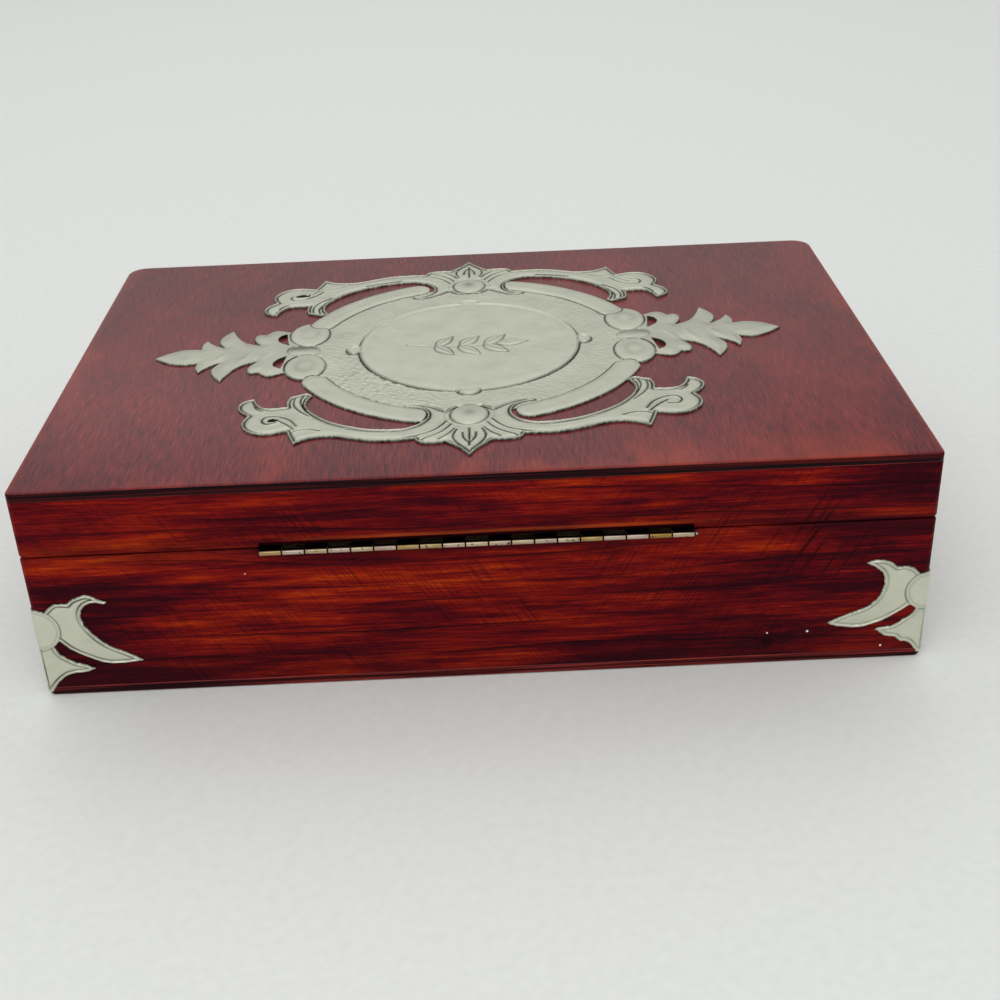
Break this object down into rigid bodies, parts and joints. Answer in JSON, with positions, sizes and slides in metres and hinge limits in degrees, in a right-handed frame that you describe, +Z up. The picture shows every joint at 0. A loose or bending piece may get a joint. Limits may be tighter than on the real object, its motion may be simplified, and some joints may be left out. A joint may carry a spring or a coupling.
{
  "type": "tea storage box",
  "caption": "Low stained wooden box with compartments for tea bags, a hinged full-width lid and embossed pewter mounts on the lid and corners.",
  "frame": {"origin": "on the supporting surface, under the middle of the wooden box", "axes": "+X to the right as seen from the front, +Y to the back, where the hinge is, +Z up"},
  "size_m": [0.2552, 0.1777, 0.0691],
  "materials": {
    "stained_pine": "gloss varnish over red-brown stain",
    "stained_plywood": "satin varnish over red-brown stain",
    "divider_plywood": "bare sanded birch plywood",
    "pewter": "satin hand-embossed pewter sheet",
    "hinge_brass": "aged brass plating",
    "screw_brass": "aged brass",
    "pin_steel": "drawn steel wire"
  },
  "bodies": {
    "base": {"base_bottom_panel": "stained_plywood", "base_back_wall": "stained_pine", "base_right_wall": "stained_pine", "base_front_wall": "stained_pine", "base_left_wall": "stained_pine", "long_divider": "divider_plywood", "cross_divider_left": "divider_plywood", "cross_divider_right": "divider_plywood", "corner_mount_back_left": "pewter", "corner_mount_back_right": "pewter", "corner_mount_front_left": "pewter", "corner_mount_front_right": "pewter", "hinge_leaf_base": "hinge_brass", "hinge_screws_base": "screw_brass"},
    "lid": {"lid_top_panel": "stained_plywood", "lid_back_rail": "stained_pine", "lid_right_rail": "stained_pine", "lid_front_rail": "stained_pine", "lid_left_rail": "stained_pine", "lid_mount": "pewter", "hinge_leaf_lid": "hinge_brass", "hinge_screws_lid": "screw_brass", "hinge_pin": "pin_steel"}
  },
  "joints": [
    {"name": "lid_hinge", "type": "hinge", "parent": "base", "child": "lid", "pos_m": [0, 0.0887, 0.0459], "axis": [-1, 0, 0], "range_deg": [0, 180]}
  ]
}
